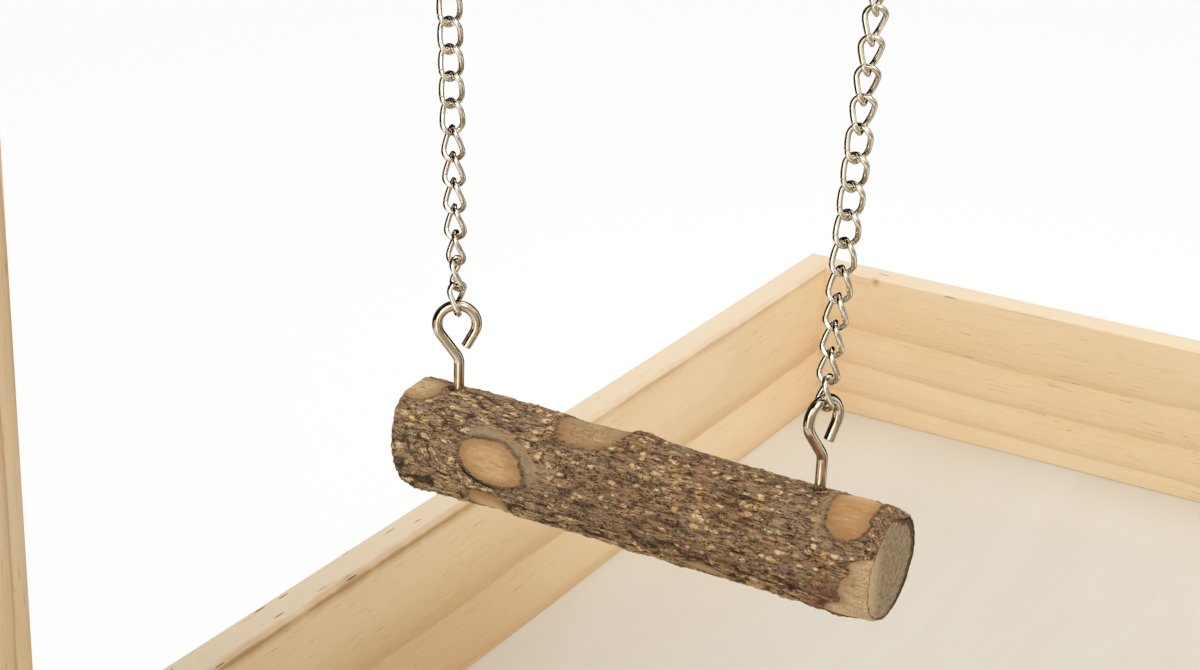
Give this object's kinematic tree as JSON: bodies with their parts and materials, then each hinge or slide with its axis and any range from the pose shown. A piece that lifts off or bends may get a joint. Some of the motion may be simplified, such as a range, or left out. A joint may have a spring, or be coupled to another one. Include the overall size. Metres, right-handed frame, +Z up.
{
  "type": "bird play stand",
  "caption": "Open pine tray with a post-and-branch frame; a natural branch perch swings under the frame on curb chains hooked into screw eyes.",
  "frame": {"origin": "on the table, under the middle of the tray", "axes": "+X along the perch, +Y to the back of the tray, +Z up"},
  "size_m": [0.4208, 0.64, 0.4308],
  "materials": {
    "pine": "sanded, unfinished",
    "plywood": "sanded, unfinished",
    "bark": "natural bark, matt",
    "nickel": "bright nickel plate",
    "zinc": "zinc plate"
  },
  "bodies": {
    "stand": {"tray_wall_left": "pine", "tray_wall_right": "pine", "tray_wall_back": "pine", "tray_wall_front": "pine", "tray_floor": "plywood", "wall_nails": "zinc", "upright_left": "pine", "upright_right": "pine", "upright_screws": "zinc", "crossbar": "bark", "crossbar_screws": "zinc", "hanger_eye_left": "nickel", "hanger_eye_right": "nickel"},
    "left_hanger": {"hanger_link_left": "nickel"},
    "left_chain": {"chain_left": "nickel"},
    "left_end": {"eye_link_left": "nickel"},
    "perch": {"perch": "bark", "perch_eye_left": "nickel", "perch_eye_right": "nickel"},
    "right_hanger": {"hanger_link_right": "nickel"},
    "right_chain": {"chain_right": "nickel"},
    "right_end": {"eye_link_right": "nickel"}
  },
  "joints": [
    {"name": "swing", "type": "hinge", "parent": "stand", "child": "left_hanger", "pos_m": [-0.05245, -0.212, 0.38204], "axis": [1, 0, 0], "range_deg": [-45, 45]},
    {"name": "sway", "type": "hinge", "parent": "left_hanger", "child": "left_chain", "pos_m": [-0.05223, -0.212, 0.37741], "axis": [0, 1, 0], "range_deg": [-10, 10]},
    {"name": "left_level", "type": "hinge", "parent": "left_chain", "child": "left_end", "pos_m": [-0.04637, -0.212, 0.25555], "axis": [0, 1, 0], "range_deg": [-11.5, 11.5]},
    {"name": "perch_roll", "type": "hinge", "parent": "left_end", "child": "perch", "pos_m": [-0.04615, -0.212, 0.25091], "axis": [1, 0, 0], "range_deg": [-20, 20]},
    {"name": "right_swing", "type": "hinge", "parent": "stand", "child": "right_hanger", "pos_m": [0.05245, -0.212, 0.38204], "axis": [1, 0, 0], "range_deg": [-45, 45]},
    {"name": "right_sway", "type": "hinge", "parent": "right_hanger", "child": "right_chain", "pos_m": [0.05223, -0.212, 0.37741], "axis": [0, 1, 0], "range_deg": [-10, 10]},
    {"name": "right_level", "type": "hinge", "parent": "right_chain", "child": "right_end", "pos_m": [0.04637, -0.212, 0.25555], "axis": [0, 1, 0], "range_deg": [-11.5, 11.5]}
  ],
  "couplings": [
    {"joint": "left_level", "follows": "sway", "ratio": -1.1262},
    {"joint": "right_swing", "follows": "swing", "ratio": 1},
    {"joint": "right_sway", "follows": "sway", "ratio": 1},
    {"joint": "right_level", "follows": "sway", "ratio": -1.1262}
  ]
}
